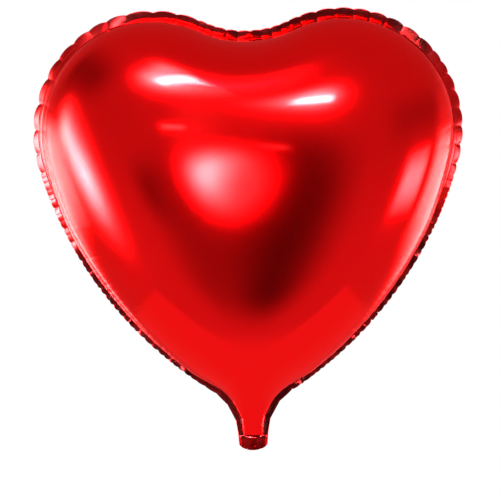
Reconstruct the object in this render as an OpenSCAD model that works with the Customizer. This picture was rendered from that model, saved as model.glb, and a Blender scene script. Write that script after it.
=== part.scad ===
// Heart-shaped foil balloon, inflated, with its filling tail hanging below.
// Millimetres. The origin is the middle of the neck at the crease where a ribbon is tied,
// +Z points up to the dip between the lobes, and the front faces -Y.

/* [Heart outline] */
// Width of the inflated heart over its welded rim
heart_w = 360; // [330:1:390]
// Radius of the shallow dip between the lobes
notch_radius = 91; // [84:1:98]
// Turn of the seam from the middle of the dip to the start of a lobe, in degrees
notch_turn = 25.5; // [23:0.5:28]
// Turn of the seam around one lobe, in degrees
lobe_turn = 131; // [128:0.5:133]
// Turn of the seam along one lower side, in degrees
side_turn = 41; // [38:0.5:44]
// Radius of the fillet where a side runs into the neck
neck_radius = 52; // [40:1:60]

/* [Inflated form] */
// Thickness from front to back at the fullest point
depth = 160; // [130:1:180]
// Height of the fullest point above the tie
crown_z = 210; // [190:1:225]
// Power of the cross-section: 2 is an ellipse, higher is flatter in the middle
section_power = 2.8; // [2.2:0.1:3.2]
// Power that fills the lower point: higher is slimmer towards the neck
point_power = 1.15; // [1:0.05:1.4]
// Height over which the neck closes flat on the valve
neck_close_h = 12; // [8:1:20]
// Depth of the valley that runs down from the dip
valley_depth = 5; // [0:0.5:8]

/* [Film and weld] */
// Thickness of one foil wall, as modelled
film_t = 0.5; // [0.4:0.05:0.8]
// Thickness of the welded rim
weld_t = 0.8; // [0.6:0.1:1.2]
// Width of the rim around the lobes
rim_w = 8; // [6:0.5:10]
// Width of the rim where a side meets the neck fillet
side_rim_w = 5.5; // [5:0.5:6]
// Width of the rim beside the neck
neck_rim_w = 4; // [3:0.5:4.5]
// Width of the land on which a panel's edge lies on the weld
land_w = 0.8; // [0.6:0.1:1]
// Length of one scallop around the lobes
scallop_len = 15; // [12:1:20]
// Depth of one scallop around the lobes
scallop_depth = 1.6; // [0.5:0.1:2]
// Length of one tooth along the lower sides
tooth_len = 6.4; // [5:0.2:10]
// Depth of one tooth along the lower sides
tooth_depth = 0.8; // [0.3:0.1:1]

/* [Tail] */
// Width of the tail
tail_w = 25; // [24:0.5:28]
// Length of the tail below the tie
tail_h = 11; // [10:0.5:24]
// Radius of the tail's lower corners
tail_corner = 7; // [3:0.5:8]
// Depth of the tail's fold line below the tie
fold_drop = 0.95; // [0.95:0.05:1.5]
// Thickness of one foil wall in the tail
tail_film_t = 0.4; // [0.3:0.05:0.4]

/* [Valve] */
// Width of the two valve strips
valve_w = 14; // [10:0.5:14]
// Height of the valve's top above the tie
valve_top = 125; // [80:1:140]
// Height of the tack where the strips are bonded in the neck
tack_z = 2; // [2:0.5:4]
// Thickness of one valve strip, as modelled
strip_t = 0.12; // [0.08:0.01:0.14]
// Distance of each strip's middle from the balloon's middle plane
strip_off = 0.2; // [0.18:0.01:0.22]
// Radius of the tack bead at the foot of each strip
tack_r = 0.15; // [0.12:0.01:0.15]
// Height of the release print above its foot
print_h = 45; // [20:1:70]
// Thickness of the release print
print_t = 0.05; // [0.03:0.01:0.06]

/* [Hidden] */

foil_red = [0.85, 0.01, 0.04];
weld_red = [0.7, 0.01, 0.04];
film_clear = [0.85, 0.88, 0.9];
print_blue = [0.35, 0.6, 0.85];

// The seam is four arcs, each tangent to the next: dip, lobe, side and neck fillet.
neck_turn = lobe_turn + side_turn - notch_turn - 90;
turns = [notch_turn, -lobe_turn, -side_turn, neck_turn];
seam_half_w = heart_w / 2 - rim_w;
lobe_radius = (seam_half_w - notch_radius * sin(notch_turn)) / (1 + sin(notch_turn));
neck_half_w = tail_w / 2 - neck_rim_w;

// Direction of travel at the start of arc n, in degrees from +X
function heading(n) = n == 0 ? 0 : heading(n - 1) + turns[n - 1];

// The side's radius is the one that brings the seam to the neck's half width.
side_radius = (notch_radius * sin(heading(1)) - lobe_radius * (sin(heading(2)) - sin(heading(1)))
    - neck_radius * (1 + sin(heading(3))) - neck_half_w) / (sin(heading(3)) - sin(heading(2)));
radii = [notch_radius, lobe_radius, side_radius, neck_radius];

// Step [x, z] from the start of arc n to its point after turning by a degrees
function arc_step(n, a) =
    let (r = sign(turns[n]) * radii[n], h = heading(n))
    r * [sin(h + a) - sin(h), cos(h) - cos(h + a)];

function arc_fall(n) = arc_step(n, turns[n])[1];
notch_z = -(arc_fall(0) + arc_fall(1) + arc_fall(2) + arc_fall(3));

function arc_start(n) = n == 0 ? [0, notch_z] : arc_start(n - 1) + arc_step(n - 1, turns[n - 1]);
starts = [for (n = [0:3]) arc_start(n)];

// Point [x, z] a fraction u along arc n, moved outwards from the seam by w
function seam_point(n, u, w) =
    let (h = heading(n) + u * turns[n])
    starts[n] + arc_step(n, u * turns[n]) + w * [-sin(h), cos(h)];

// Height at which the seam is widest, where it heads straight down around a lobe
widest_z = seam_point(1, (90 + notch_turn) / lobe_turn, 0)[1];

// Stops [arc, fraction] up the seam, from the neck over one lobe to the dip
rib_counts = [6, 22, 14, 9];
stops = [for (n = [3:-1:0]) for (i = [0:rib_counts[n] - 1]) [n, 1 - i / rib_counts[n]], [0, 0]];
last = len(stops) - 1;
rings = 11;

function is_low(k) = stops[k][0] > 1 || (stops[k][0] == 1 && heading(1) + stops[k][1] * turns[1] < -90);
function rib_end(k, w) = seam_point(stops[k][0], stops[k][1], w);

// A rib starts on the middle line: low ribs climb it, and the others fan out from the crown.
function rib_foot(k) = is_low(k) ? crown_z * sin(90 * rib_end(k, 0)[1] / widest_z) : crown_z;
fan_start = min([for (k = [0:last]) if (!is_low(k)) k]);

function neck_closing(z) = sin(90 * min(1, z / neck_close_h));
function rib_height(k) =
    let (p = rib_end(k, 0), full = depth / 2 - weld_t / 2)
    is_low(k)
        ? film_t + (full - film_t) * sin(90 * pow(p[0] / seam_half_w, point_power)) * neck_closing(p[1])
        : full;
function rib_bend(k) = is_low(k) ? 2 : 1 + rib_end(k, 0)[0] / seam_half_w;

// The valley fades out from the dip towards the lobes, the crown and the seam.
valley_half_w = 60;
function valley(k, r) =
    is_low(k) ? 0 : valley_depth * exp(-pow(rib_end(k, 0)[0] / valley_half_w, 2)) * pow(sin(180 * r), 2);

function section(r) = sqrt(1 - pow(r, section_power));

// Point of the front wall on rib k, a fraction r of the way out, with the wall's thickness cut off it
function wall_point(side, k, r, inset, cut) =
    let (p = rib_end(k, -inset), foot = rib_foot(k), rise = rib_height(k) - cut)
    [side * r * p[0], -weld_t / 2 - rise * section(r) + valley(k, r), foot + (p[1] - foot) * pow(r, rib_bend(k))];

// Skin of one panel: first the points on the middle line, then each side's ribs, ring by ring
function skin(inset, cut) = [
    for (k = [0:fan_start]) wall_point(1, k, 0, inset, cut),
    for (side = [1, -1]) for (k = [0:last]) if (side > 0 || k < last)
        for (j = [1:rings]) wall_point(side, k, sin(90 * j / rings), inset, cut)
];
skin_size = fan_start + 1 + (2 * last + 1) * rings;

// Index of a skin point: both sides share the middle line and the rib at the dip
function skin_index(side, k, j) =
    j == 0 ? min(k, fan_start)
    : fan_start + 1 + (side > 0 || k == last ? k : last + 1 + k) * rings + j - 1;

// Triangles of the outer skin that have three different corners
function skin_faces() = [
    for (side = [1, -1]) for (k = [0:last - 1]) for (j = [0:rings - 1])
        let (a = skin_index(side, k, j), b = skin_index(side, k, j + 1))
        let (c = skin_index(side, k + 1, j + 1), d = skin_index(side, k + 1, j))
        for (t = side > 0 ? [[a, c, b], [a, d, c]] : [[a, b, c], [a, c, d]])
            if (t[0] != t[1] && t[1] != t[2] && t[2] != t[0]) t
];

function reversed(faces) = [for (t = faces) [t[2], t[1], t[0]]];
function lifted(faces, by) = [for (t = faces) [for (v = t) v + by]];

// Edge of the skin, all the way round: across the neck and up over both lobes
edge = [
    for (j = [rings:-1:1]) skin_index(-1, 0, j),
    for (j = [0:rings]) skin_index(1, 0, j),
    for (k = [1:last]) skin_index(1, k, rings),
    for (k = [last - 1:-1:1]) skin_index(-1, k, rings)
];
// Quads that join the outer skin's edge to the inner skin's, cut the other way left of the middle
function edge_faces() = [
    for (i = [0:len(edge) - 1])
        let (a = edge[i], b = edge[(i + 1) % len(edge)])
        let (c = b + skin_size, d = a + skin_size)
        for (t = i < rings ? [[a, b, d], [b, c, d]] : [[a, b, c], [a, c, d]]) t
];

module panel_shell() {
    polyhedron(
        points = concat(skin(0, 0), skin(land_w, film_t)),
        faces = concat(skin_faces(), lifted(reversed(skin_faces()), skin_size), edge_faces())
    );
}

// A flat piece drawn in x and z, centred on y
module upright(thickness, y = 0) {
    translate([0, y + thickness / 2, 0]) rotate([90, 0, 0]) linear_extrude(thickness) children();
}

rim_widths = [rim_w, rim_w, rim_w, side_rim_w, neck_rim_w];
function rim_width(n, u) = rim_widths[n] + (rim_widths[n + 1] - rim_widths[n]) * u;
function arc_length(n) = abs(turns[n]) * PI / 180 * radii[n];

// The film gathers into scallops around the lobes and into small teeth along the sides.
gather_lens = [scallop_len, scallop_len, tooth_len, tooth_len];
gather_depths = [scallop_depth, scallop_depth, tooth_depth, tooth_depth];
gather_points = [6, 6, 3, 3];
function gathers(n) = round(arc_length(n) / gather_lens[n]);
function rim_steps(n) = gathers(n) * gather_points[n];
function gather_dip(n, u) = gather_depths[n] * (1 - abs(sin(180 * gathers(n) * u)));

rim_outer = [
    for (n = [0:3]) for (i = [0:rim_steps(n) - (n == 3 ? 0 : 1)])
        let (u = i / rim_steps(n))
        seam_point(n, u, rim_width(n, u) - gather_dip(n, u))
];
rim_inner = [for (k = [0:last]) rib_end(k, -land_w)];
function flipped(points) = [for (i = [len(points) - 1:-1:0]) [-points[i][0], points[i][1]]];
function without_first(points) = [for (i = [1:len(points) - 1]) points[i]];
function without_last(points) = [for (i = [0:len(points) - 2]) points[i]];

// Outline of the tail below its fold: straight sides and two rounded lower corners
module tail_outline() {
    straight_h = tail_h - tail_corner - fold_drop;
    translate([-tail_w / 2, -straight_h - fold_drop]) square([tail_w, straight_h]);
    translate([tail_corner - tail_w / 2, -tail_h]) square([tail_w - 2 * tail_corner, tail_corner]);
    intersection() {
        for (side = [-1, 1])
            translate([side * (tail_w / 2 - tail_corner), tail_corner - tail_h]) circle(tail_corner, $fn = 48);
        translate([-tail_w / 2, -tail_h]) square([tail_w, tail_corner]);
    }
}

module strip(front) {
    y = front * strip_off;
    color(film_clear) {
        upright(strip_t, y) translate([-valve_w / 2, tack_z]) square([valve_w, valve_top - tack_z]);
        translate([-valve_w / 2, y, tack_z]) rotate([0, 90, 0]) cylinder(h = valve_w, r = tack_r, $fn = 32);
    }
}

module inlet_strip(front) {
    color(film_clear)
        upright(strip_t, front * strip_off)
            translate([-valve_w / 2, -tail_h]) square([valve_w, tail_h - fold_drop]);
}

module tail_foil(front) {
    color(foil_red)
        upright(tail_film_t, front * (weld_t + tail_film_t) / 2) tail_outline();
}

module front_panel() {
    color(foil_red) panel_shell();
}

module back_panel() {
    color(foil_red) mirror([0, 1, 0]) panel_shell();
}

module rim_weld() {
    color(weld_red)
        upright(weld_t)
            polygon(concat(rim_outer, rim_inner, flipped(without_last(rim_inner)), flipped(without_first(rim_outer))));
}

module valve_front_strip() {
    strip(-1);
}

module valve_back_strip() {
    strip(1);
}

module valve_release_print() {
    y = strip_off - strip_t / 2 - print_t / 2;
    color(print_blue)
        upright(print_t, y) translate([-valve_w / 2, tack_z + tack_r]) square([valve_w, print_h]);
}

module tail_front_foil() {
    tail_foil(-1);
}

module tail_back_foil() {
    tail_foil(1);
}

module tail_weld() {
    color(weld_red) for (side = [-1, 1]) {
        upright(weld_t) intersection() {
            tail_outline();
            translate([side * (tail_w - neck_rim_w) / 2 - neck_rim_w / 2, -tail_h]) square([neck_rim_w, tail_h]);
        }
        translate([side * (tail_w - neck_rim_w) / 2 - neck_rim_w / 2, 0, -fold_drop])
            rotate([0, 90, 0]) cylinder(h = neck_rim_w, r = weld_t / 2, $fn = 32);
    }
}

module inlet_front_strip() {
    inlet_strip(-1);
}

module inlet_back_strip() {
    inlet_strip(1);
}

front_panel();
back_panel();
rim_weld();
valve_front_strip();
valve_back_strip();
valve_release_print();
tail_front_foil();
tail_back_foil();
tail_weld();
inlet_front_strip();
inlet_back_strip();
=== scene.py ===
# %% [markdown]
# # A heart-shaped foil balloon
# A foil balloon is two flat hearts of metallised film, welded together along their edges.
# Gas lifts the middle of each heart into a dome, and the rim, which can't stretch or shrink,
# gathers into scallops. This lesson builds the two domes, the gathered weld, the crumpled
# filling tail and the mirror-like film, around a frame that already holds sizes and joints.

# %% Load the frame
import math

import bmesh
import bpy
import numpy as np
from mathutils import Matrix, Vector


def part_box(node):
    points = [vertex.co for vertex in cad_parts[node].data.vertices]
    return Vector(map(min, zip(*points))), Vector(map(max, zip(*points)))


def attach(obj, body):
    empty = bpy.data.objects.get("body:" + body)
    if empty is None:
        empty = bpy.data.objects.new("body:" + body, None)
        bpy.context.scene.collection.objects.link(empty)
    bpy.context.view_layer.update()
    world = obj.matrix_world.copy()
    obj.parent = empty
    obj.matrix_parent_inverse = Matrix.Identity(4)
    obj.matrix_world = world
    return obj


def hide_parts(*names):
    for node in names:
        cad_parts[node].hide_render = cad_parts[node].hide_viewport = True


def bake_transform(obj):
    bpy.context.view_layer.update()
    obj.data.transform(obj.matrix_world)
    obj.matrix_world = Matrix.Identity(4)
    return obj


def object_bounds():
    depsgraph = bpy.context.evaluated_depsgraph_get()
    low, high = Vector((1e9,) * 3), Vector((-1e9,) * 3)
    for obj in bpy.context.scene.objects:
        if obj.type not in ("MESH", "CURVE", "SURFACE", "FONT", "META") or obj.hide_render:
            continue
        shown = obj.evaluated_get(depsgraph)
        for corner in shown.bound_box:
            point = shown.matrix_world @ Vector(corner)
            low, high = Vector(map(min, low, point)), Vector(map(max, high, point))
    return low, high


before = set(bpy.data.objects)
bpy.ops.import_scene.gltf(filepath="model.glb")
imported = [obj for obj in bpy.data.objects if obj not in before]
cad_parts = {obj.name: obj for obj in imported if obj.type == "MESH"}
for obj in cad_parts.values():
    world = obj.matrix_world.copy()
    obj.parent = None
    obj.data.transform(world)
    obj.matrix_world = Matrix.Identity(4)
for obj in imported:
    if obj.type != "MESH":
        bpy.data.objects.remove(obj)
cad_low, cad_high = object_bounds()
MM = 0.001
print("frame size, mm:", [round((b - a) / MM, 1) for a, b in zip(cad_low, cad_high)])

# %% [markdown]
# ## The camera
# The balloon is seen from straight in front and level with the middle of the heart, through
# a long lens, so that it isn't distorted. It hangs a little crooked, so the camera leans by
# one degree instead of turning the balloon, which has to stay in its frame.

# %% Camera
VIEW_WIDTH = 0.4175
CAMERA_DISTANCE = 1.8
CAMERA_HEIGHT = 0.1561
CAMERA_LEAN = math.radians(1.0)


def make_camera():
    data = bpy.data.cameras.new("camera")
    data.lens = data.sensor_width * CAMERA_DISTANCE / VIEW_WIDTH
    data.clip_end = 50
    camera = bpy.data.objects.new("camera", data)
    bpy.context.scene.collection.objects.link(camera)
    right = Vector((math.cos(CAMERA_LEAN), 0, -math.sin(CAMERA_LEAN)))
    up = Vector((math.sin(CAMERA_LEAN), 0, math.cos(CAMERA_LEAN)))
    back = Vector((0, -1, 0))
    turned = Matrix((right, up, back)).transposed().to_4x4()
    camera.matrix_world = Matrix.Translation((0, -CAMERA_DISTANCE, CAMERA_HEIGHT)) @ turned
    bpy.context.scene.camera = camera
    return camera


camera = make_camera()
print("lens, mm:", round(camera.data.lens, 1))

# %% [markdown]
# ## The seam
# Each half of the heart's seam is four arcs that run smoothly into each other: the dip
# between the lobes, a lobe, a lower side, and the fillet into the neck. Their sizes come
# from the frame's rim and tail. Arcs are better than a drawn outline here, because a point,
# a direction and an inward offset can be worked out at any distance along them.

# %% Seam of four arcs
rim_low, rim_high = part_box("rim_weld")
tail_low, tail_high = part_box("tail_front_foil")
RIM_WIDTH = 8 * MM
NECK_RIM_WIDTH = 4 * MM
DIP_RADIUS = 91 * MM
NECK_RADIUS = 52 * MM
DIP_TURN, LOBE_TURN, SIDE_TURN = (math.radians(a) for a in (25.5, 131, 41))

seam_half_width = (rim_high.x - rim_low.x) / 2 - RIM_WIDTH
neck_half_width = (tail_high.x - tail_low.x) / 2 - NECK_RIM_WIDTH
arc_turns = [DIP_TURN, -LOBE_TURN, -SIDE_TURN, LOBE_TURN + SIDE_TURN - DIP_TURN - math.pi / 2]
headings = [0, DIP_TURN, DIP_TURN - LOBE_TURN, DIP_TURN - LOBE_TURN - SIDE_TURN]
lobe_radius = (seam_half_width - DIP_RADIUS * math.sin(DIP_TURN)) / (1 + math.sin(DIP_TURN))
sines = [math.sin(h) for h in headings]
side_radius = (
    DIP_RADIUS * sines[1] - lobe_radius * (sines[2] - sines[1])
    - NECK_RADIUS * (1 + sines[3]) - neck_half_width
) / (sines[3] - sines[2])
arc_radii = [DIP_RADIUS, lobe_radius, side_radius, NECK_RADIUS]
arc_ends = np.cumsum([abs(t) * r for t, r in zip(arc_turns, arc_radii)])
seam_length = arc_ends[-1]


def arc_step(n, turn):
    """Step [x, z] from the start of arc n to its point after that turn."""
    r = math.copysign(arc_radii[n], arc_turns[n])
    return r * np.array([np.sin(headings[n] + turn) - sines[n],
                         math.cos(headings[n]) - np.cos(headings[n] + turn)])


dip_height = -sum(arc_step(n, arc_turns[n])[1] for n in range(4))
arc_starts = [np.array([0.0, dip_height])]
for n in range(3):
    arc_starts.append(arc_starts[-1] + arc_step(n, arc_turns[n]))


def seam_at(distance):
    """Points and outward normals of the right half of the seam, at distances from the dip."""
    point, normal = np.zeros((2, len(distance))), np.zeros((2, len(distance)))
    which = np.minimum(np.searchsorted(arc_ends, distance, side="right"), 3)
    for n in range(4):
        here = which == n
        travelled = distance[here] - (arc_ends[n] - abs(arc_turns[n]) * arc_radii[n])
        turn = travelled / arc_radii[n] * np.sign(arc_turns[n])
        point[:, here] = arc_starts[n][:, None] + arc_step(n, turn)
        normal[:, here] = [-np.sin(headings[n] + turn), np.cos(headings[n] + turn)]
    return point, normal


print("seam, mm: half length", round(seam_length / MM, 1), "dip at", round(dip_height / MM, 1))

# %% [markdown]
# ## The shape that gas gives the film
# A film lifted by gas bulges like a membrane: the square of its height obeys the law of a
# soap film over the same outline. Instead of a grid simulation, the law is solved with a
# ring of source points just outside the seam. Each source adds a smooth hill of logarithmic
# shape, and the strengths are fitted so that the height is zero on the seam. The result is
# a formula, so a mirror finish shows no steps or dents from it.

# %% Membrane over the heart
NEAR_SPACING = 1.2 * MM
FAR_SPACING = 5 * MM
SPACING_GROWTH = 0.035
SOURCE_OFFSET = 3
NECK_END_SOURCES = 15


def spaced_from_neck(near, far, growth):
    """Distances from the neck's end, close together at the neck and wider further on."""
    steps = [near / 3]
    while steps[-1] < seam_length:
        steps.append(steps[-1] + min(far, near + growth * steps[-1]))
    return np.array(steps[:-1])


def membrane_sources():
    along = spaced_from_neck(NEAR_SPACING, FAR_SPACING, SPACING_GROWTH)
    gap = np.minimum(FAR_SPACING, NEAR_SPACING + SPACING_GROWTH * along)
    point, normal = seam_at(seam_length - along)
    mirror = np.array([[-1], [1]])
    end = np.linspace(-0.96, 0.96, NECK_END_SOURCES) * neck_half_width
    end_points = np.array([end, 0 * end])
    points = np.hstack([point, point * mirror, end_points])
    normals = np.hstack([normal, normal * mirror, [0 * end, 0 * end - 1]])
    gaps = np.concatenate([gap, gap, 0 * end + NEAR_SPACING])
    return points, points + normals * gaps * SOURCE_OFFSET


def hills(points, sources):
    """Height of every source's hill at every point, and a constant column."""
    apart = points[:, :, None] - sources[:, None, :]
    logs = 0.5 * np.log((apart ** 2).sum(0))
    return np.hstack([logs, np.ones((points.shape[1], 1))])


def fit_membrane():
    seam_points, sources = membrane_sources()
    between = (seam_points[:, 1:] + seam_points[:, :-1]) / 2
    close = np.linalg.norm(seam_points[:, 1:] - seam_points[:, :-1], axis=0) < 2 * FAR_SPACING
    targets = np.hstack([seam_points, between[:, close]])
    matrix = hills(targets, sources)
    scale = np.linalg.norm(matrix, axis=0)
    wanted = (targets ** 2).sum(0) / 4
    strengths = np.linalg.lstsq(matrix / scale, wanted, rcond=1e-12)[0] / scale
    print("membrane: sources", sources.shape[1], "largest error, mm2:",
          round(float(abs(matrix @ strengths - wanted).max()) / MM ** 2, 3))
    return sources, strengths


MEMBRANE_TOP = 0.201
sources, strengths = fit_membrane()


def lift(points):
    """Membrane value at [x, z] points: zero on the seam, largest at the crown."""
    value = np.empty(points.shape[1])
    for start in range(0, points.shape[1], 4000):
        part = points[:, start:start + 4000]
        value[start:start + 4000] = hills(part, sources) @ strengths - (part ** 2).sum(0) / 4
    return value


fullest = float(lift(np.array([[0.0], [MEMBRANE_TOP]]))[0])
print("membrane at the crown, mm2:", round(fullest / MM ** 2))

# %% [markdown]
# ## Where the rim gathers
# The rim of the flat heart is longer than the rim of the blown one, and the spare length
# goes into gathers: wide scallops around the lobes and small teeth along the lower sides.
# No two are alike, so their lengths are drawn from ranges with a fixed seed. The value
# called gather is 0 in the crease between two scallops and 1 in the middle of each.

# %% Gathers along the rim
gather_random = np.random.default_rng(18)
DIP_END = 45 * MM
SIDE_START = 262 * MM
NECK_START = 488 * MM
GATHER_ROUNDNESS = 0.55


def gather_lengths(distance, left):
    """Shortest and longest gather at a distance from the dip."""
    if distance < DIP_END:
        return 6 * MM, 11 * MM
    if distance < SIDE_START:
        return (15 * MM, 24 * MM) if left else (9 * MM, 17 * MM)
    if distance < NECK_START:
        return 3.5 * MM, 8 * MM
    return 12 * MM, 19 * MM


def crease_places():
    """Creases from the left end of the neck, over the dip at 0, to the right end."""
    places = [-seam_length]
    while places[-1] < seam_length:
        low, high = gather_lengths(abs(places[-1]), places[-1] < 0)
        places.append(places[-1] + gather_random.uniform(low, high))
    return np.array(places)


creases = crease_places()
crease_depths = gather_random.uniform(0.6, 1, len(creases))
on_side = (np.abs(creases) > SIDE_START) & (np.abs(creases) < NECK_START)
crease_depths[on_side] = gather_random.uniform(0.3, 1, on_side.sum())
crease_tilts = gather_random.uniform(-1, 1, len(creases))


def gather_at(along):
    """The gather value, and the length of the scallop that each point is in."""
    index = np.clip(np.searchsorted(creases, along, side="right") - 1, 0, len(creases) - 2)
    pitch = creases[index + 1] - creases[index]
    share = np.clip((along - creases[index]) / pitch, 0, 1)
    deep = crease_depths[np.where(share < 0.5, index, index + 1)]
    return 1 - deep * (1 - np.sin(math.pi * share) ** GATHER_ROUNDNESS), pitch


print("gathers:", len(creases) - 1)

# %% [markdown]
# ## A flat heart to blow up
# The mesh is laid out on ribs that run from the middle line out to the seam. Low ribs climb
# the middle line, and the upper ones fan out from the crown. Rings crowd towards the seam,
# where the film stands almost upright. The outer rings have four times as many ribs as the
# inner ones, because the gathers need them and the smooth middle doesn't.

# %% Flat heart mesh
RINGS = 60
FINE_FROM_RING = 38
FINE_PER_COARSE = 4
RIB_SPACING = 1.15 * MM
CROWN_HEIGHT = 0.205
widest_height = arc_starts[1][1] + arc_step(1, -math.pi / 2 - DIP_TURN)[1]
widest_distance = arc_ends[0] + (math.pi / 2 + DIP_TURN) * lobe_radius


def rib_stations():
    """Signed distances from the dip at which ribs meet the seam, left to right."""
    from_neck = spaced_from_neck(0.3 * MM, RIB_SPACING, 0.2)
    half = seam_length - from_neck
    count = (len(half) // FINE_PER_COARSE) * FINE_PER_COARSE
    half = np.interp(np.linspace(0, 1, count + 1), np.linspace(0, 1, len(half) + 2),
                     np.concatenate([[seam_length], half, [0]]))
    return np.concatenate([-half, half[-2::-1]])


def rib_points(along, share):
    """[x, z] on the rib that ends at each signed distance, a share of the way out."""
    end, _ = seam_at(np.abs(along))
    low = np.abs(along) > widest_distance
    climb = np.sin(math.pi / 2 * end[1] / widest_height)
    foot = np.where(low, CROWN_HEIGHT * climb, CROWN_HEIGHT)
    bend = np.where(low, 2, 1 + end[0] / seam_half_width)
    side = np.where(along < 0, -1, 1)
    return np.array([side * end[0] * share, foot + (end[1] - foot) * share ** bend])


def flat_heart():
    """Points, the distance from the dip and share of the way out of each, and faces."""
    stations = rib_stations()
    coarse = stations[::FINE_PER_COARSE]
    shares = np.sin(math.pi / 2 * np.arange(RINGS + 1) / RINGS)
    rows, alongs, outs, starts, total = [], [], [], [], 0
    for ring, share in enumerate(shares):
        along = coarse if ring < FINE_FROM_RING else stations
        starts.append(total)
        rows.append(rib_points(along, share))
        alongs.append(along)
        outs.append(np.full(len(along), share))
        total += len(along)
    faces = []
    for ring in range(RINGS):
        inner, outer = starts[ring], starts[ring + 1]
        if ring + 1 == FINE_FROM_RING:
            for i in range(len(coarse) - 1):
                rim = [outer + i * FINE_PER_COARSE + k for k in range(FINE_PER_COARSE, -1, -1)]
                faces.append([inner + i, inner + i + 1] + rim)
        else:
            for i in range(len(alongs[ring]) - 1):
                faces.append([inner + i, inner + i + 1, outer + i + 1, outer + i])
    return np.hstack(rows), np.concatenate(alongs), np.concatenate(outs), faces


flat_points, flat_along, flat_share, flat_faces = flat_heart()
print("flat heart: points", flat_points.shape[1], "faces", len(flat_faces))

# %% [markdown]
# Gas pulls the film over the weld along the lower sides, so the margin shows less there.
# On the left a fold runs beside the seam, where the film was creased in its packet. These
# facts are given as lists of places along the seam, in metres from the dip, with negative
# places on the left, and a value for each place; between them the value changes evenly.

# %% Distance of each point from the seam
SPREAD_POWER = 8
SPREAD_PLACES = [0.24, 0.31, 0.47, 0.50]
SPREADS = [0, 3.4 * MM, 2.4 * MM, 0]
FOLD_PLACES = [-0.42, -0.36, -0.20, -0.13, 0.17, 0.20, 0.30, 0.36]
FOLD_STRENGTHS = [0, 1, 1, 0, 0, 0.3, 0.3, 0]


def seam_spread(along):
    """How far the film reaches out over the weld, at distances from the dip."""
    return np.interp(np.abs(along), SPREAD_PLACES, SPREADS)


def fold_strength(along):
    """1 where the packet fold is sharp and 0 where there is none."""
    return np.interp(along, FOLD_PLACES, FOLD_STRENGTHS)


seam_end, seam_normal = seam_at(np.abs(flat_along))
mirrored_x = np.where(flat_along < 0, -1, 1)
to_seam = np.array([mirrored_x * seam_end[0], seam_end[1]]) - flat_points
edge_distance = np.linalg.norm(to_seam, axis=0)
flat_gather, _ = gather_at(flat_along)
flat_fill = np.clip(lift(flat_points) / fullest, 0, 1)
flat_fill[edge_distance < 1e-7] = 0
flat_fold = fold_strength(flat_along)
spread_out = seam_spread(flat_along) * flat_share ** SPREAD_POWER
blown_points = flat_points + spread_out * seam_normal * [mirrored_x, 1 + 0 * mirrored_x]
print("film reaches over the weld by up to, mm:", round(spread_out.max() / MM, 1))


def link_object(name, mesh):
    made = bpy.data.objects.new(name, mesh)
    bpy.context.scene.collection.objects.link(made)
    return made


def add_values(mesh, **values):
    """Gives the mesh's points named numbers that node trees can read."""
    for label, numbers in values.items():
        attribute = mesh.attributes.new(label, "FLOAT", "POINT")
        attribute.data.foreach_set("value", np.ravel(numbers).astype(np.float32))


def grid_faces(rows, wide):
    """Faces of a sheet of points in rows that are so many points wide."""
    return [[r * wide + c, r * wide + c + 1, (r + 1) * wide + c + 1, (r + 1) * wide + c]
            for r in range(rows) for c in range(wide - 1)]


def heart_object(name):
    """The flat heart as an object that knows its fill, gathers, folds and seam distance."""
    mesh = bpy.data.meshes.new(name)
    mesh.from_pydata([(x, 0, z) for x, z in blown_points.T], [], flat_faces)
    add_values(mesh, fill=flat_fill, gather=flat_gather, fold=flat_fold,
               edge_distance=edge_distance)
    return link_object(name, mesh)


# %% [markdown]
# ## A short way to write node trees
# Geometry Nodes and shader trees are long to write out by hand. The first of these small
# helpers adds a node, sets its options, and plugs values or other nodes' outputs into its
# inputs. The others build on it: products, smooth hills, and changes from one value to another.

# %% Node helpers
def add_node(tree, kind, *inputs, **options):
    node = tree.nodes.new(kind)
    for key, value in options.items():
        setattr(node, key, value)
    for socket, value in zip(node.inputs, inputs):
        plug(tree, socket, value)
    return node


def plug(tree, socket, value):
    if isinstance(value, bpy.types.NodeSocket):
        tree.links.new(value, socket)
    elif value is not None:
        socket.default_value = value


def sum_up(tree, operation, *inputs):
    """Output of a Math node."""
    return add_node(tree, "ShaderNodeMath", *inputs, operation=operation).outputs[0]


def times(tree, *values):
    """Output of Math nodes that multiply all the values."""
    product = values[0]
    for value in values[1:]:
        product = sum_up(tree, "MULTIPLY", product, value)
    return product


def hill(tree, value, sharpness=1.0):
    """1 where the value is 0, falling off smoothly to both sides."""
    return sum_up(tree, "EXPONENT", times(tree, value, value, -sharpness))


def change(tree, value, low, high, start, end, kind="SMOOTHSTEP"):
    """Goes from start to end while the value goes from low to high."""
    node = add_node(tree, "ShaderNodeMapRange", value, low, high, start, end,
                    interpolation_type=kind)
    return node.outputs[0]


def named_value(tree, name, kind="FLOAT"):
    node = add_node(tree, "GeometryNodeInputNamedAttribute", data_type=kind)
    node.inputs["Name"].default_value = name
    return node.outputs["Attribute"]


def new_tree(name, sockets):
    """A Geometry Nodes tree with a geometry in and out and the named inputs."""
    tree = bpy.data.node_groups.new(name, "GeometryNodeTree")
    tree.interface.new_socket("Geometry", in_out="INPUT", socket_type="NodeSocketGeometry")
    tree.interface.new_socket("Geometry", in_out="OUTPUT", socket_type="NodeSocketGeometry")
    for label, kind in sockets:
        tree.interface.new_socket(label, in_out="INPUT", socket_type=kind)
    return tree, tree.nodes.new("NodeGroupInput"), tree.nodes.new("NodeGroupOutput")


def end_tree(tree, geometry, material, output):
    """Every tree ends the same way: real geometry, then its material."""
    real = add_node(tree, "GeometryNodeRealizeInstances", geometry).outputs[0]
    finished = add_node(tree, "GeometryNodeSetMaterial", real)
    tree.links.new(material, finished.inputs["Material"])
    tree.links.new(finished.outputs[0], output.inputs[0])


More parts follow.
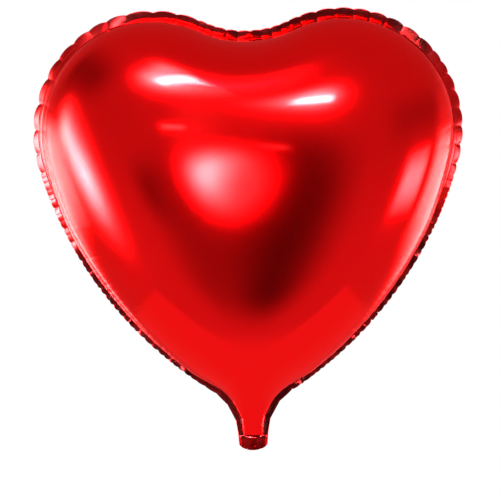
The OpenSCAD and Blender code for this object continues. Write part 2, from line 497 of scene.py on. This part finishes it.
def bake_tree(made, tree, values):
    """Runs the tree on the object, keeps the resulting mesh, and removes the modifier."""
    modifier = made.modifiers.new(tree.name, "NODES")
    modifier.node_group = tree
    for item in tree.interface.items_tree:
        if item.item_type == "SOCKET" and item.in_out == "INPUT" and item.name in values:
            modifier[item.identifier] = values[item.name]
    evaluated = made.evaluated_get(bpy.context.evaluated_depsgraph_get())
    result = bpy.data.meshes.new_from_object(evaluated)
    made.modifiers.clear()
    made.data = result
    return made


# %% [markdown]
# ## Metallised film
# The film is a clear plastic, dyed red, on a mirror of vapour-deposited aluminium. So a
# lamp is seen twice: once as a red mirror image, and once as a weak white one from the
# plastic's own surface, which is why bright lamps turn pink or white. The mirror is a
# metal with a red colour, and the plastic is a clear coat over it. Faint ripples in the
# film keep the reflections from being as perfect as glass.

# %% Foil material
FOIL_RED = (0.88, 0.0006, 0.0015, 1)
FOIL_DEEP = (0.82, 0.0004, 0.001, 1)
# the colour of the painted shade on the crumpled margin and the tail
FOIL_PAINTED_SHADE = (0.10, 0.0002, 0.0006, 1)
GRAZING_TINT = (0.9, 0.06, 0.07, 1)
COAT_IOR = 1.5
# noise scales: waves per metre of colour tone, patches in the painted shade, wear, ripples and
# fine grain
SHADE_SCALE, PATCH_SCALE, WEAR_SCALE, RIPPLE_SCALE, GRAIN_SCALE = 14, 450, 30, 22, 320


def new_material(name):
    material = bpy.data.materials.new(name)
    material.use_nodes = True
    tree = material.node_tree
    tree.nodes.clear()
    shader = tree.nodes.new("ShaderNodeBsdfPrincipled")
    output = tree.nodes.new("ShaderNodeOutputMaterial")
    tree.links.new(shader.outputs[0], output.inputs[0])
    return material, tree, shader


def object_place(tree):
    return add_node(tree, "ShaderNodeTexCoord").outputs["Object"]


def noise(tree, place, scale, detail):
    node = add_node(tree, "ShaderNodeTexNoise", place)
    plug(tree, node.inputs["Scale"], scale)
    node.inputs["Detail"].default_value = detail
    return node.outputs["Fac"]


def mapped(tree, value, low, high):
    """Low where the value is 0 and high where it is 1."""
    return change(tree, value, 0.0, 1.0, low, high, "LINEAR")


def blended(tree, share, first, second):
    """A colour between two, by share."""
    node = add_node(tree, "ShaderNodeMix", share, data_type="RGBA")
    plug(tree, node.inputs["A"], first)
    plug(tree, node.inputs["B"], second)
    return node.outputs["Result"]


def bumped(tree, height, distance, strength, normal=None):
    node = add_node(tree, "ShaderNodeBump")
    plug(tree, node.inputs["Height"], height)
    node.inputs["Distance"].default_value = distance
    node.inputs["Strength"].default_value = strength
    if normal is not None:
        plug(tree, node.inputs["Normal"], normal)
    return node.outputs[0]


def foil_finish(name, roughness, ripple, grain, gloss, gloss_roughness):
    """Red mirror film: ripple is the height of slow waves and grain of fine ones, in metres.

    Where the mesh carries its own painted shade value, the colour is painted darker, as painted
    shade on crumpled film.
    """
    material, tree, shader = new_material(name)
    place = object_place(tree)
    shade = blended(tree, noise(tree, place, SHADE_SCALE, 3), FOIL_RED, FOIL_DEEP)
    # painted shade: the base colour is darkened, in patches, by the mesh's own value, in place of
    # real shade
    dark = add_node(tree, "ShaderNodeAttribute", attribute_name="dark").outputs["Fac"]
    patchy = mapped(tree, noise(tree, place, PATCH_SCALE, 2), 0.75, 1.25)
    plug(tree, shader.inputs["Base Color"],
         blended(tree, times(tree, dark, patchy), shade, FOIL_PAINTED_SHADE))
    plug(tree, shader.inputs["Roughness"],
         mapped(tree, noise(tree, place, WEAR_SCALE, 4), roughness * 0.85, roughness * 1.2))
    slow = bumped(tree, noise(tree, place, RIPPLE_SCALE, 1), ripple, 1.0)
    fine = bumped(tree, noise(tree, place, GRAIN_SCALE, 3), grain, 1.0, slow)
    plug(tree, shader.inputs["Normal"], fine)
    shader.inputs["Metallic"].default_value = 1.0
    shader.inputs["Coat Weight"].default_value = gloss
    shader.inputs["Specular Tint"].default_value = GRAZING_TINT
    shader.inputs["Coat Roughness"].default_value = gloss_roughness
    shader.inputs["Coat IOR"].default_value = COAT_IOR
    return material


foil = foil_finish("red_foil", 0.11, 0.10 * MM, 0.004 * MM, 0.11, 0.03)
weld_foil = foil_finish("gathered_foil", 0.13, 0.10 * MM, 0.012 * MM, 0.17, 0.22)
tail_foil = foil_finish("tail_foil", 0.14, 0.10 * MM, 0.02 * MM, 0.2, 0.08)
print("foil materials:", [m.name for m in (foil, weld_foil, tail_foil)])

# %% [markdown]
# ## Blowing up the panels
# The tree takes the flat heart and lifts each point by the membrane's value. The power
# makes the middle flatter than a soap film's, as in film that can't stretch. A shallow
# valley runs down from the dip, and one lobe stands a little fuller than the other. Then
# the creases are pressed in along the new normals, and they fade out away from the seam.

# %% Inflating tree
CRINKLE_SCALE = 260
# heights between which the valley, the neck's thickness and the neck's crinkles change
VALLEY_RISE = (0.27, 0.335)
NECK_SWELL = (0.0, 0.07)
NECK_CRINKLE = (0.004, 0.04)


def sunk_depth(tree, at, place, z):
    """How far the creases, the crinkles of the neck and the packet fold are pressed in."""
    edge_distance = named_value(tree, "edge_distance")
    fade = sum_up(tree, "EXPONENT",
                  sum_up(tree, "DIVIDE", times(tree, edge_distance, -1.0), at["Crease Reach"]))
    pinch = sum_up(tree, "POWER", sum_up(tree, "SUBTRACT", 1.0, named_value(tree, "gather")), 1.5)
    crease = times(tree, pinch, fade, at["Crease Depth"])
    crumpled = noise(tree, place, CRINKLE_SCALE, 1.5)
    wrinkle = times(tree, crumpled, change(tree, z, *NECK_CRINKLE, 1.0, 0.0), at["Crinkle Depth"])
    beside = sum_up(tree, "SUBTRACT", edge_distance, at["Fold Distance"])
    beside = sum_up(tree, "DIVIDE", beside, at["Fold Width"])
    fold = times(tree, hill(tree, beside), named_value(tree, "fold"), at["Fold Depth"])
    return sum_up(tree, "ADD", sum_up(tree, "ADD", crease, wrinkle), fold)


def inflate_tree():
    tree, inputs, output = new_tree("Inflate film", [
        (label, "NodeSocketFloat") for label in (
            "Depth", "Flatness", "Valley Depth", "Valley Width", "Uneven", "Crease Depth",
            "Crease Reach", "Crinkle Depth", "Fold Distance", "Fold Width", "Fold Depth")
    ] + [("Material", "NodeSocketMaterial")])
    at = inputs.outputs
    place = add_node(tree, "GeometryNodeInputPosition").outputs[0]
    x, _, z = add_node(tree, "ShaderNodeSeparateXYZ", place).outputs
    empty = sum_up(tree, "SUBTRACT", 1.0, named_value(tree, "fill"))
    shape = sum_up(tree, "SUBTRACT", 1.0, sum_up(tree, "POWER", empty, at["Flatness"]))
    share = sum_up(tree, "POWER", sum_up(tree, "MAXIMUM", shape, 0.0), 0.5)

    rise = change(tree, z, *VALLEY_RISE, 0.0, 1.0)
    across = sum_up(tree, "DIVIDE", x, at["Valley Width"])
    valley = times(tree, hill(tree, across, 0.5), rise, at["Valley Depth"])
    tilt = times(tree, x, rise, at["Uneven"])
    drop = times(tree, sum_up(tree, "ADD", valley, tilt), share)
    height = times(tree, share, at["Depth"], change(tree, z, *NECK_SWELL, 0.72, 1.0))
    height = sum_up(tree, "SUBTRACT", height, drop)
    forward = add_node(tree, "ShaderNodeCombineXYZ", 0.0, times(tree, height, -1.0), 0.0)
    blown = add_node(tree, "GeometryNodeSetPosition", at["Geometry"])
    tree.links.new(forward.outputs[0], blown.inputs["Offset"])

    normal = add_node(tree, "GeometryNodeInputNormal").outputs[0]
    push = add_node(tree, "ShaderNodeVectorMath", normal, operation="SCALE")
    tree.links.new(times(tree, sunk_depth(tree, at, place, z), -1.0), push.inputs["Scale"])
    gathered = add_node(tree, "GeometryNodeSetPosition", blown.outputs[0])
    tree.links.new(push.outputs[0], gathered.inputs["Offset"])
    end_tree(tree, gathered.outputs[0], at["Material"], output)
    return tree


inflate = inflate_tree()
print("inflating tree:", len(inflate.nodes), "nodes")

# %% [markdown]
# Both panels are blown from the same flat heart. The tree always blows towards the front,
# so the back panel is a mirrored copy of that shape, with one lobe a little fuller. The walls
# become real mesh before the piece is given its place in the frame. The panels hold their
# shape by the gas inside.

# %% Front and back panels
PANEL_GAP = 0.25 * MM
FILM_THICKNESS = 0.25 * MM
panel_depth = cad_high.y - PANEL_GAP


def merge_doubles(made, distance):
    """Joins the points that ribs share at the crown and on the middle line."""
    shape = bmesh.new()
    shape.from_mesh(made.data)
    bmesh.ops.remove_doubles(shape, verts=shape.verts, dist=distance)
    bmesh.ops.dissolve_degenerate(shape, edges=shape.edges, dist=distance)
    bmesh.ops.recalc_face_normals(shape, faces=shape.faces)
    shape.to_mesh(made.data)
    shape.free()


def face_outwards(made, side):
    """Turns the faces so that the film's outside looks to -Y (side -1) or +Y (side 1)."""
    mesh = made.data
    normals = np.empty(len(mesh.polygons) * 3)
    mesh.polygons.foreach_get("normal", normals)
    if normals.reshape(-1, 3)[:, 1].mean() * side < 0:
        mesh.flip_normals()


def bake_wall(made, thickness, offset):
    """Gives the film its thickness, inwards (offset -1) or to both sides (0)."""
    wall = made.modifiers.new("wall", "SOLIDIFY")
    wall.thickness = thickness
    wall.offset = offset
    evaluated = made.evaluated_get(bpy.context.evaluated_depsgraph_get())
    walled = bpy.data.meshes.new_from_object(evaluated)
    made.modifiers.clear()
    made.data = walled
    walled.shade_smooth()


def make_panel(name, side, uneven):
    panel = heart_object(name)
    merge_doubles(panel, 1e-6)
    face_outwards(panel, -1)
    bake_tree(panel, inflate, {
        "Depth": panel_depth, "Flatness": 1.4, "Valley Depth": 1.5 * MM, "Valley Width": 0.03,
        "Uneven": uneven, "Crease Depth": 0.8 * MM, "Crease Reach": 5 * MM,
        "Crinkle Depth": 0.7 * MM, "Fold Distance": 3.2 * MM, "Fold Width": 0.8 * MM,
        "Fold Depth": 1.0 * MM, "Material": foil})
    mesh = panel.data
    place = np.empty(len(mesh.vertices) * 3)
    mesh.vertices.foreach_get("co", place)
    place = place.reshape(-1, 3)
    place[:, 1] = (place[:, 1] - PANEL_GAP) * -side
    mesh.vertices.foreach_set("co", place.ravel())
    face_outwards(panel, side)
    bake_wall(panel, FILM_THICKNESS, -1)
    return panel


front_panel = make_panel("front_panel_film", -1, 0.0)
back_panel = make_panel("back_panel_film", 1, 0.01)
for panel, node in ((front_panel, "front_panel"), (back_panel, "back_panel")):
    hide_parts(node)
    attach(panel, "balloon")
    print(panel.name, "faces", len(panel.data.polygons))

# %% [markdown]
# ## The gathered weld
# Outside the seam both films are fused into one flat margin. It starts just inside the
# seam, under the panels' edges, and ends in the scallops. A strip of faces along the seam
# carries how far along and across each point is, and the tree shapes it: the edge is drawn
# in at the creases, each scallop is cupped, and the margin leans and flutters.

# %% Weld strip
WELD_ROWS = 24
WELD_SPACING = 0.9 * MM
WELD_INNER = -1.2 * MM
WELD_THICKNESS = 0.3 * MM
# the teeth of the lower sides are cut deeper, for their length, than the lobes' scallops
TOOTH_PLACES = [0.25, 0.32, 0.46, 0.49]
TOOTH_BOOST = [1, 2.2, 2.2, 1]
# painted shade on the margin: places along the seam, and how much its colour is painted dark
# there
PAINTED_SHADE_PLACES = [-0.34, -0.30, -0.15, -0.11, 0.15, 0.19, 0.29, 0.32]
PAINTED_SHADES = [0.85, 0, 0, 0.7, 0.7, 0.15, 0.15, 0.85]
LEAN_PLACES = [-seam_length, -0.49, -0.42, -0.35, -0.31, -0.2, -0.16, -0.13, -0.10, 0,
               0.12, 0.16, 0.2, 0.27, 0.31, 0.46, seam_length]
LEANS = [0.2, 0.22, 0.18, 0.2, 0.7, 0.85, 0.6, 0.3, -0.16, -0.18,
         -0.18, 0.1, 0.7, 0.6, 0.14, 0.12, 0.13]
UNEVEN_PLACES = [0, SIDE_START, 0.33, NECK_START, 0.51]
UNEVEN_LEANS = [0.05, 0.05, 0.3, 0.3, 0.05]


def weld_strip(name):
    count = int(2 * seam_length / WELD_SPACING)
    along = np.linspace(-seam_length, seam_length, count)
    point, normal = seam_at(np.abs(along))
    side = np.where(along < 0, -1, 1)
    point, normal = point * [side, 1 + 0 * side], normal * [side, 1 + 0 * side]
    near_neck = np.clip((np.abs(along) - arc_ends[1]) / (seam_length - arc_ends[1]), 0, 1)
    width = RIM_WIDTH + (NECK_RIM_WIDTH - RIM_WIDTH) * near_neck ** 1.4
    gather, pitch = gather_at(along)
    pitch = pitch * (1 - 0.75 * near_neck ** 3)
    pitch = pitch * np.interp(np.abs(along), TOOTH_PLACES, TOOTH_BOOST)
    inner = WELD_INNER + seam_spread(along)
    corners, shares = [], []
    for row in range(WELD_ROWS + 1):
        out = inner + (width - inner) * row / WELD_ROWS
        place = point + normal * out
        corners.append(np.array([place[0], 0 * along, place[1]]).T)
        shares.append(np.clip(out / width, 0, 1))
    mesh = bpy.data.meshes.new(name)
    mesh.from_pydata(np.vstack(corners).tolist(), [], grid_faces(WELD_ROWS, count))
    add_values(mesh, across=shares, **{key: [values] * (WELD_ROWS + 1) for key, values in (
        ("gather", gather), ("pitch", pitch), ("fold", fold_strength(along)), ("width", width),
        ("dark", weld_darkness(along)), ("lean", weld_lean(along)))})
    outward = np.tile(np.array([normal[0], 0 * along, normal[1]]).T, (WELD_ROWS + 1, 1))
    attribute = mesh.attributes.new("out", "FLOAT_VECTOR", "POINT")
    attribute.data.foreach_set("vector", outward.astype(np.float32).ravel())
    return link_object(name, mesh)


def weld_darkness(along):
    """How much the margin's colour is painted dark as shade: 0 where it lies smooth, towards 1
    where it is crumpled.
    """
    return np.interp(along, PAINTED_SHADE_PLACES, PAINTED_SHADES)


def weld_lean(along):
    """How far back the margin leans, as a slope: most at the widest places, none at the dip."""
    uneven = np.interp(np.abs(along), UNEVEN_PLACES, UNEVEN_LEANS)
    return np.interp(along, LEAN_PLACES, LEANS) + uneven * np.interp(along, creases, crease_tilts)


weld = weld_strip("scalloped_weld")
print("weld strip:", len(weld.data.vertices), "points")

# %% [markdown]
# The tree pulls each crease's end inwards along the seam's outward direction, and moves the
# margin back by its lean, plus small waves, the pressed creases and the packet fold. Most of
# it grows from nothing at the seam to its full size at the edge.

# %% Scalloping tree
def margin_depth(tree, at, across, gather, pinch):
    """How far back each point goes: lean, cup, flutter, creases and the packet fold."""
    lean = times(tree, named_value(tree, "lean"), named_value(tree, "width"), across)
    arch = sum_up(tree, "SINE", times(tree, across, math.pi))
    cup = times(tree, arch, gather, at["Cup"])
    waves = noise(tree, add_node(tree, "GeometryNodeInputPosition").outputs[0],
                  at["Flutter Scale"], 1.0)
    flutter = times(tree, sum_up(tree, "SUBTRACT", waves, 0.5), at["Flutter"],
                    sum_up(tree, "POWER", across, 1.3))
    crease = times(tree, sum_up(tree, "POWER", pinch, 3.0), at["Crease Depth"], across)
    beside = sum_up(tree, "SUBTRACT", across, at["Fold Place"])
    beside = sum_up(tree, "DIVIDE", beside, at["Fold Width"])
    fold = times(tree, hill(tree, beside), named_value(tree, "fold"), at["Fold Depth"])
    back = sum_up(tree, "SUBTRACT", lean, cup)
    for more in (sum_up(tree, "ADD", flutter, crease), fold):
        back = sum_up(tree, "ADD", back, more)
    return back


def scallop_tree():
    tree, inputs, output = new_tree("Scalloped weld", [
        (label, "NodeSocketFloat") for label in (
            "Scallop Depth", "Cup", "Flutter", "Flutter Scale", "Crease Depth",
            "Fold Place", "Fold Width", "Fold Depth")
    ] + [("Material", "NodeSocketMaterial")])
    at = inputs.outputs
    across, gather = named_value(tree, "across"), named_value(tree, "gather")
    pinch = sum_up(tree, "SUBTRACT", 1.0, gather)
    draw_in = times(tree, pinch, at["Scallop Depth"], named_value(tree, "pitch"))
    draw_in = times(tree, draw_in, sum_up(tree, "POWER", across, 1.5))
    shift = add_node(tree, "ShaderNodeVectorMath", named_value(tree, "out", "FLOAT_VECTOR"),
                     operation="SCALE")
    tree.links.new(times(tree, draw_in, -1.0), shift.inputs["Scale"])
    back = margin_depth(tree, at, across, gather, pinch)
    depth = add_node(tree, "ShaderNodeCombineXYZ", 0.0, back, 0.0).outputs[0]
    offset = add_node(tree, "ShaderNodeVectorMath", shift.outputs[0], depth, operation="ADD")
    shaped = add_node(tree, "GeometryNodeSetPosition", at["Geometry"])
    tree.links.new(offset.outputs[0], shaped.inputs["Offset"])
    end_tree(tree, shaped.outputs[0], at["Material"], output)
    return tree


bake_tree(weld, scallop_tree(), {
    "Scallop Depth": 0.14, "Cup": 0.12 * MM, "Flutter": 1.2 * MM, "Flutter Scale": 45.0,
    "Crease Depth": 0.35 * MM, "Fold Place": 0.3, "Fold Width": 0.07,
    "Fold Depth": 0.45 * MM, "Material": weld_foil})
face_outwards(weld, -1)
bake_wall(weld, WELD_THICKNESS, 0)
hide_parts("rim_weld")
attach(weld, "balloon")
print("weld faces", len(weld.data.polygons))

# %% [markdown]
# ## The crumpled tail
# Below the tie the films lie flat on each other again, with the ends of the valve strips
# between them. The tail has been pinched round a filling nozzle, so it is full of small
# sharp creases. Each film is a fine sheet whose creases come from folded waves, and it
# bends softly where the tail joins the neck.

# %% Tail films
TAIL_COLUMNS, TAIL_ROWS = 72, 40
TAIL_TOP = 1.6 * MM  # the films reach this far up between the panels
TAIL_ARC = 6.4 * MM  # how much the corners of the rounded end are higher than its middle
TAIL_NARROWING = 0.04  # share of the width lost towards the end
TAIL_HALF_GAP = 0.2 * MM  # from the middle plane to each film where they are welded
TAIL_GAP = 0.35 * MM  # and this much more in the middle
TAIL_TAPER = 0.14  # how fast the films part towards the neck, as a slope
TAIL_LOOSE_START = 2.2 * MM  # distance from the top over which the films come loose
TAIL_CREASES, TAIL_CREASE_HEIGHT = 2.6 * MM, 0.4 * MM
TAIL_SWAY, TAIL_SWAY_WIDTH = 0.15 * MM, 3.6 * MM
TAIL_FILM = 0.12 * MM
FRONT_SEED, BACK_SEED = 7, 9
tail_half = (tail_high.x - tail_low.x) / 2
tail_bottom = tail_low.z


def crumple(x, z, seed, size):
    """Folded waves with sharp creases, between 0 and 1."""
    draws = np.random.default_rng(seed)
    total, weight = 0 * x, 0
    for octave in range(4):
        angle, shift = draws.uniform(0, 2 * math.pi, 2)
        reach = size / 1.7 ** octave
        wave = (x * math.cos(angle) + z * math.sin(angle)) / reach + shift
        warp = np.sin((x * math.sin(angle) - z * math.cos(angle)) / reach * 0.8 + shift)
        total = total + np.abs(np.sin(wave + 0.7 * warp)) / 1.5 ** octave
        weight += 1 / 1.5 ** octave
    return total / weight


def tail_film(name, side):
    u, v = np.meshgrid(np.linspace(-1, 1, TAIL_COLUMNS + 1), np.linspace(0, 1, TAIL_ROWS + 1))
    bottom = tail_bottom + TAIL_ARC * (1 - np.sqrt(np.clip(1 - u ** 2, 0, 1)))
    x = u * tail_half * (1 - TAIL_NARROWING * v)
    z = TAIL_TOP + (bottom - TAIL_TOP) * v
    open_share = np.clip(1.3 * (1 - np.abs(u) * 1.25), 0, 1)
    folds = crumple(x, z, FRONT_SEED if side < 0 else BACK_SEED, TAIL_CREASES)
    hang = np.clip((TAIL_TOP - z) / TAIL_LOOSE_START, 0, 1) ** 0.6
    puff = TAIL_GAP + TAIL_TAPER * (z - tail_bottom) + TAIL_CREASE_HEIGHT * folds
    y = side * (TAIL_HALF_GAP + puff * open_share * hang)
    sway = TAIL_SWAY * np.sin(x / TAIL_SWAY_WIDTH + 0.6) * hang
    corners = np.array([x.ravel(), (y + sway).ravel(), z.ravel()]).T
    mesh = bpy.data.meshes.new(name)
    mesh.from_pydata(corners.tolist(), [], grid_faces(TAIL_ROWS, TAIL_COLUMNS + 1))
    # painted shade: the tail's colour is painted darker all over, with a painted shadow where it
    # leaves the neck, and more towards the side edges and along the crumples
    crease_shadow = np.exp(-((z - 0.3 * MM) / (1.3 * MM)) ** 2)
    darkness = 0.45 + 0.5 * crease_shadow + 0.4 * u ** 8 + 0.3 * (folds - 0.5)
    add_values(mesh, dark=np.clip(darkness, 0, 1))
    made = link_object(name, mesh)
    face_outwards(made, side)
    mesh.materials.append(tail_foil)
    bake_wall(made, TAIL_FILM, 0)
    return made


def finish_tail_piece(piece, slot, *nodes):
    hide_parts(*nodes)
    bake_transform(piece)


tail_front = tail_film("tail_front_film", -1)
tail_back = tail_film("tail_back_film", 1)
finish_tail_piece(tail_front, "foil", "tail_front_foil", "tail_weld")
finish_tail_piece(tail_back, "foil", "tail_back_foil")
print("tail films:", tail_front.name, tail_back.name)

# %% [markdown]
# ## The valve
# The self-sealing valve is two soft clear strips that lie on each other inside the neck.
# A printed patch keeps them from being welded together there. They are simple flat pieces,
# so the frame's own shapes stay, and get a milky film and a dotted print.

# %% Valve materials
CLEAR_FILM = (0.86, 0.89, 0.92, 1)
PRINT_SCALE = 900
PRINT_INK = (0.10, 0.32, 0.62, 1)
PRINT_GAP = (0.45, 0.66, 0.85, 1)


def valve_film_material():
    material, tree, shader = new_material("valve_film")
    place = object_place(tree)
    shader.inputs["Base Color"].default_value = CLEAR_FILM
    shader.inputs["Transmission Weight"].default_value = 0.8
    shader.inputs["IOR"].default_value = COAT_IOR
    plug(tree, shader.inputs["Roughness"], mapped(tree, noise(tree, place, 180, 3), 0.18, 0.35))
    plug(tree, shader.inputs["Normal"], bumped(tree, noise(tree, place, 400, 3), 0.05 * MM, 0.6))
    return material


def release_print_material():
    material, tree, shader = new_material("release_print")
    place = object_place(tree)
    dots = add_node(tree, "ShaderNodeTexVoronoi", place)
    dots.inputs["Scale"].default_value = PRINT_SCALE
    edge = change(tree, dots.outputs["Distance"], 0.3, 0.45, 0.0, 1.0, "LINEAR")
    plug(tree, shader.inputs["Base Color"], blended(tree, edge, PRINT_INK, PRINT_GAP))
    shader.inputs["Roughness"].default_value = 0.55
    return material


valve_film, release_print = valve_film_material(), release_print_material()
finishes = dict.fromkeys(("valve_front_strip", "valve_back_strip", "inlet_front_strip",
                          "inlet_back_strip"), valve_film)
finishes["valve_release_print"] = release_print
for node, finish in finishes.items():
    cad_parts[node].data.materials.clear()
    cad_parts[node].data.materials.append(finish)
print("valve pieces finished")

# %% [markdown]
# ## The studio
# A mirror-like balloon shows the studio more than itself, so the studio is painted with
# care: tall windows on both sides, two lamps with soft halos above, a pale floor below,
# and a dark middle where the camera stands. The lamps are soft-edged patches on the world,
# each given by its direction: azimuth 0 is where the camera stands, and positive azimuths
# are to its right. A curtain caps the light between the two lamps. The camera itself sees
# plain white behind the balloon, and the floor glows like the sky, so it has no shadow.

# %% Soft patches of light
def soft_patch(tree, direction, azimuth, elevation, half_width, half_height, roll, edge):
    """1 inside a patch of sky and 0 outside, with soft edges. All angles are in degrees."""
    a, e, r = math.radians(azimuth), math.radians(elevation), math.radians(roll)
    centre = (math.sin(a) * math.cos(e), -math.cos(a) * math.cos(e), math.sin(e))
    right = (math.cos(a), math.sin(a), 0)
    up = (-math.sin(a) * math.sin(e), math.cos(a) * math.sin(e), math.cos(e))
    long = [math.cos(r) * b + math.sin(r) * c for b, c in zip(right, up)]
    short = [math.cos(r) * c - math.sin(r) * b for b, c in zip(right, up)]
    dots = [add_node(tree, "ShaderNodeVectorMath", direction, vector,
                     operation="DOT_PRODUCT").outputs["Value"]
            for vector in (centre, long, short)]
    ahead = sum_up(tree, "MAXIMUM", dots[0], 0.02)
    mask = sum_up(tree, "GREATER_THAN", dots[0], 0.02)
    for dot, half in ((dots[1], half_width), (dots[2], half_height)):
        off = sum_up(tree, "ABSOLUTE", sum_up(tree, "DIVIDE", dot, ahead))
        inner = math.tan(math.radians(max(half - edge, 0)))
        outer = math.tan(math.radians(half + edge))
        mask = times(tree, mask, change(tree, off, inner, outer, 1.0, 0.0))
    return mask


def soft_glow(tree, direction, azimuth, elevation, spread, strength):
    """A round glow that fades smoothly away from its middle."""
    a, e = math.radians(azimuth), math.radians(elevation)
    centre = (math.sin(a) * math.cos(e), -math.cos(a) * math.cos(e), math.sin(e))
    near = add_node(tree, "ShaderNodeVectorMath", direction, centre,
                    operation="DOT_PRODUCT").outputs["Value"]
    off = times(tree, sum_up(tree, "SUBTRACT", near, 1.0), 2 / math.radians(spread) ** 2)
    return times(tree, sum_up(tree, "EXPONENT", off), strength)


# %% [markdown]
# The light is planned from what a mirror of this shape would show. Near the crown the film
# faces the camera, so small lamps high up show as short glints there; close to the seam it
# faces sideways, so the windows have to stand beside and behind the balloon.

# %% Lamps, windows and dark places
SKY_LIGHT = 0.6
# each horizon: lowest and highest direction of the change, and the light added below it
HORIZONS = [(-0.85, -0.72, 0.2), (-0.6, 0.3, 0.16)]
# each patch: azimuth, elevation, half width, half height, roll, soft edge, share of light kept
DARK_PATCHES = [
    (2, -15, 24, 23, 0, 11, 0.5),
    (8, -12, 9, 24, 0, 9, 0.33),
    (-26, -3, 6, 6, 0, 6, 0.5),
    (-85, 43, 24, 10, 0, 12, 0.45),
    (75, 15, 26, 9, 0, 9, 0.7),
]
# each lamp: azimuth, elevation, half width, half height, roll, soft edge, strength
# two lamps above, three windows on the left and three on the right, and faint strips
LAMPS = [
    (-11, 49.3, 7.5, 2.2, 45, 1.8, 230),
    (12, 31.8, 4.4, 2.0, -8, 1.5, 230),
    (-110, -6, 16, 11, 0, 8, 36),
    (-138, -8, 16, 11, 0, 8, 22),
    (-140, -3, 40, 18, 0, 14, 0.45),
    (77, -11.5, 11, 5.5, 0, 5, 40),
    (122, -12, 19, 10, 0, 8, 30),
    (140, -5, 40, 20, 0, 14, 0.45),
    (-14, 18, 3, 0.9, 0, 1, 10),
    (3.5, 9.5, 2, 0.5, 0, 0.8, 2),
    (-8.5, 30, 4, 27, 0, 4, 0.4),
]
# each glow: azimuth, elevation, spread, strength; halos of the lamps and the left window
GLOWS = [
    (-16.5, 47, 6.0, 95),
    (-13, 57, 4.5, 35),
    (11.6, 33, 4.7, 100),
    (-5.5, 3.8, 3.4, 105),
    (-85, 6, 9, 85),
    (-77, -4, 10, 95),
    (-70, -10.5, 8, 90),
]
BRIGHTEST = 400
# each curtain: azimuth, elevation, half width, half height, roll, soft edge, most light
CURTAINS = [
    (0.8, 52, 3.4, 14, 0, 2, 0.95),
]
print("lamps", len(LAMPS), "glows", len(GLOWS), "dark patches", len(DARK_PATCHES))


# %% [markdown]
# The world starts from an even light. Horizons add to it, dark patches multiply it, lamps
# and glows are added, and the curtain caps the result.

# %% Studio world
def make_world():
    world = bpy.data.worlds.new("studio")
    bpy.context.scene.world = world
    world.use_nodes = True
    tree = world.node_tree
    tree.nodes.clear()
    direction = add_node(tree, "ShaderNodeTexCoord").outputs["Generated"]
    height = add_node(tree, "ShaderNodeSeparateXYZ", direction).outputs["Z"]
    light = SKY_LIGHT
    for low, high, added in HORIZONS:
        light = sum_up(tree, "ADD", change(tree, height, low, high, added, 0.0), light)
    for *shape, keep in DARK_PATCHES:
        mask = soft_patch(tree, direction, *shape)
        light = times(tree, light, change(tree, mask, 0.0, 1.0, 1.0, keep, "LINEAR"))
    for *shape, strength in LAMPS:
        lamp = times(tree, soft_patch(tree, direction, *shape), strength)
        light = sum_up(tree, "ADD", light, lamp)
    for glow in GLOWS:
        light = sum_up(tree, "ADD", light, soft_glow(tree, direction, *glow))
    for *shape, most in CURTAINS:
        clear = sum_up(tree, "SUBTRACT", 1.0, soft_patch(tree, direction, *shape))
        limit = sum_up(tree, "ADD", times(tree, clear, BRIGHTEST), most)
        light = sum_up(tree, "MINIMUM", light, limit)
    studio = add_node(tree, "ShaderNodeBackground")
    plug(tree, studio.inputs["Strength"], light)
    white = add_node(tree, "ShaderNodeBackground")
    white.inputs["Color"].default_value = studio.inputs["Color"].default_value = (1, 1, 1, 1)
    seen = add_node(tree, "ShaderNodeLightPath").outputs["Is Camera Ray"]
    chosen = add_node(tree, "ShaderNodeMixShader", seen, studio.outputs[0], white.outputs[0])
    output = tree.nodes.new("ShaderNodeOutputWorld")
    tree.links.new(chosen.outputs[0], output.inputs[0])
    return world


print("studio nodes:", len(make_world().node_tree.nodes))

# %% [markdown]
# The floor is far enough below to stay out of the front view. The view transform is the
# plain one, because a film-like one would grey the strong red.

# %% Floor and view
FLOOR_HEIGHT = -0.42
FLOOR_HALF_WIDTH, FLOOR_FRONT, FLOOR_BACK = 0.7, -0.36, 0.6
FLOOR_GLOW = 1.0


def make_floor():
    mesh = bpy.data.meshes.new("floor")
    left, right = -FLOOR_HALF_WIDTH, FLOOR_HALF_WIDTH
    corners = [(left, FLOOR_FRONT), (right, FLOOR_FRONT), (right, FLOOR_BACK), (left, FLOOR_BACK)]
    mesh.from_pydata([(x, y, FLOOR_HEIGHT) for x, y in corners], [], [[0, 1, 2, 3]])
    floor = link_object("floor", mesh)
    material, _, shader = new_material("floor")
    shader.inputs["Base Color"].default_value = (0, 0, 0, 1)
    shader.inputs["Specular IOR Level"].default_value = 0.0
    shader.inputs["Emission Color"].default_value = (1, 1, 1, 1)
    shader.inputs["Emission Strength"].default_value = FLOOR_GLOW
    mesh.materials.append(material)
    return floor


make_floor()
scene = bpy.context.scene
scene.view_settings.view_transform = "Standard"
scene.view_settings.look = "None"
